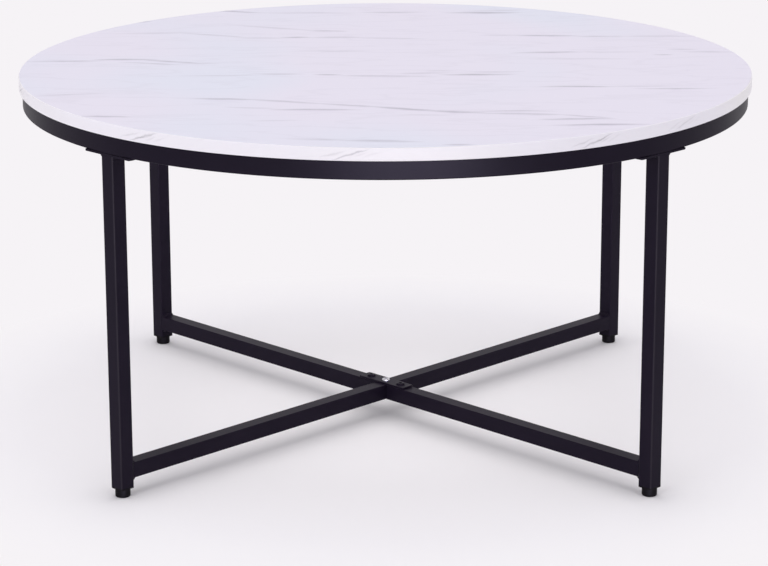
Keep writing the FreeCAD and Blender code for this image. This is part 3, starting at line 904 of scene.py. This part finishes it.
backing_paper = new_finish("pale_backing_paper")
fibre = backing_paper.noise(scale=320, detail=5, stretch=(1, 0.35, 1))
patch = backing_paper.noise(scale=11, detail=2)
fleck = ((fibre - 0.55) * 5).at_least(0) * 0.7 + (patch - 0.4).at_least(0) * 0.8
backing_paper.shade({
    "Base Color": backing_paper.mix(fleck.at_most(1), PAPER_PALE, PAPER_FLECK),
    "Roughness": 0.72 + (fibre - 0.5) * 0.2,
    "Specular IOR Level": 0.3,
    "Normal": backing_paper.bump(fibre, strength=0.4, distance=0.0001),
})
print("backing paper uses", len(backing_paper.tree.nodes), "nodes")

# %% [markdown]
# ## Putting the finishes on
#
# The board, the printed sheet and the plugs are already the right shape in the frame,
# so only their finish changes. Every other piece was made above. Each takes the finish of its slot.

# %% Finishes on pieces
FINISH_OF_SLOT = {
    "board": backing_paper,
    "marble_print": marble_print,
    "edge_band": band_print,
    "black_steel": powder_coat,
    "zinc_steel": zinc,
    "black_plastic": plastic,
}


def put_on(piece, slot):
    """Gives a piece the finish of its slot and no other."""
    piece.data.materials.clear()
    piece.data.materials.append(FINISH_OF_SLOT[slot].owner)


kept_nodes = ["top_board", "marble_laminate"] + [f"leg_plug_{corner}" for corner in CORNERS]
for node in kept_nodes:
    put_on(frame["nodes"][node], SLOTS[node])
for piece, slot in slot_of_piece.items():
    put_on(piece, slot)
print(len(kept_nodes), "pieces kept from the frame and", len(slot_of_piece), "made here")

# %% [markdown]
# ## Floor, light and camera
#
# The table stands in a pale studio under one wide overhead lamp, with two softer ones in front of it.
# A low strip in front draws the faint violet sheen on the front of the ring. Only shiny surfaces see it,
# and it stays below the top, so the printed face never mirrors it.
# A white card under a table top is an old trick: it keeps the floor there pale, and the low bars then draw
# narrow shadows right below them. Here a weak round lamp under the board is that card.
# Near the table the floor shows its real shading. That fades between two distances from the middle,
# and further out the camera and mirrors see the plain colour.

# %% Floor and world
STUDIO = colour(246, 243, 246)
FLOOR_PAINT = colour(243, 242, 246)
SHADING_WHOLE = 0.46
SHADING_GONE = 0.66
SOFT_LIGHT = 0.66
FLOOR_REACH = 12


def seen_directly(finish):
    """1 for rays from the camera and for those that gloss or glass sends on, and 0 for the rest."""
    names = ("Is Camera Ray", "Is Glossy Ray", "Is Transmission Ray")
    camera_ray, glossy_ray, glass_ray = [finish.node("ShaderNodeLightPath", output=name) for name in names]
    return camera_ray.at_least(glossy_ray).at_least(glass_ray)


floor_finish = new_finish("pale_studio_floor")
floor_shows = floor_finish.node("ShaderNodeEmission", inputs={"Color": STUDIO})
floor_shades = floor_finish.node("ShaderNodeBsdfDiffuse", inputs={"Color": FLOOR_PAINT})
across_floor, into_floor, _ = floor_finish.axes()
from_table = (across_floor * across_floor + into_floor * into_floor) ** 0.5
away = ((from_table - SHADING_WHOLE) / (SHADING_GONE - SHADING_WHOLE)).as_share()
shown = seen_directly(floor_finish) * away
floor_mix = floor_finish.node("ShaderNodeMixShader", inputs={0: shown, 1: floor_shades, 2: floor_shows})
floor_output = floor_finish.tree.nodes["Material Output"]
floor_finish.feed(floor_output.inputs["Surface"], floor_mix)
floor_mesh = bpy.data.meshes.new("studio_floor")
floor_corners = np.array([(-1, -1, 0), (1, -1, 0), (1, 1, 0), (-1, 1, 0)]) * FLOOR_REACH
floor_mesh.from_pydata(floor_corners.tolist(), [], [(0, 1, 2, 3)])
floor = bpy.data.objects.new("studio_floor", floor_mesh)
floor.data.materials.append(floor_finish.owner)
bpy.context.collection.objects.link(floor)

studio_world = bpy.data.worlds.new("studio")
bpy.context.scene.world = studio_world
sky = Finish(studio_world)
background = sky.tree.nodes["Background"]
sky.feed(background.inputs["Color"], STUDIO)
sky.feed(background.inputs["Strength"], seen_directly(sky) * (1 - SOFT_LIGHT) + SOFT_LIGHT)
print("floor reaches", FLOOR_REACH, "m each way")

# %% Lamps
SHEEN_COLOUR = (0.78, 0.72, 1.0)
SHEEN_HEIGHT = 0.4

table_middle = (cad_low + cad_high) / 2


def soft_lamp(name, place, size, power):
    """A square lamp that faces the middle of the table."""
    lamp_data = bpy.data.lights.new(name, "AREA")
    lamp_data.size = size
    lamp_data.energy = power
    lamp = bpy.data.objects.new(name, lamp_data)
    lamp.location = place
    aim = table_middle - lamp.location
    lamp.rotation_euler = aim.to_track_quat("-Z", "Y").to_euler()
    bpy.context.collection.objects.link(lamp)
    return lamp


soft_lamp("overhead_softbox", place=(0, 0, 5.0), size=4.2, power=90)
soft_lamp("left_softbox", place=(-2.2, -2.6, 1.0), size=2.0, power=21)
soft_lamp("right_softbox", place=(2.4, -2.4, 1.0), size=2.0, power=9)
sheen = soft_lamp("sheen_strip", place=(0.40, -3.3, 0.22), size=2.2, power=215)
sheen.data.shape = "RECTANGLE"
sheen.data.size_y = SHEEN_HEIGHT
sheen.data.color = SHEEN_COLOUR
sheen.visible_diffuse = False
card = soft_lamp("card_under_top", place=(0, 0, ring_low[2]), size=0.86, power=1.38)
card.data.shape = "DISK"
card.visible_camera = False
card.visible_glossy = False
print("four lamps and a card")

# %% Camera
VIEW_FROM = (0.0, -3.3808, 1.1230)
VIEW_TILT = 74.287
VIEW_ROLL = 0.12
VIEW_TURN = 0.003
LENS_MM = 130.33
SENSOR_MM = 36

camera_data = bpy.data.cameras.new("photo_view")
camera_data.lens = LENS_MM
camera_data.sensor_width = SENSOR_MM
camera = bpy.data.objects.new("photo_view", camera_data)
camera.location = VIEW_FROM
camera.rotation_euler = [math.radians(angle) for angle in (VIEW_TILT, VIEW_ROLL, VIEW_TURN)]
bpy.context.collection.objects.link(camera)
bpy.context.scene.camera = camera
bpy.context.scene.view_settings.view_transform = "Standard"
print("camera", round(math.dist(VIEW_FROM, table_middle), 2), "m from the table")
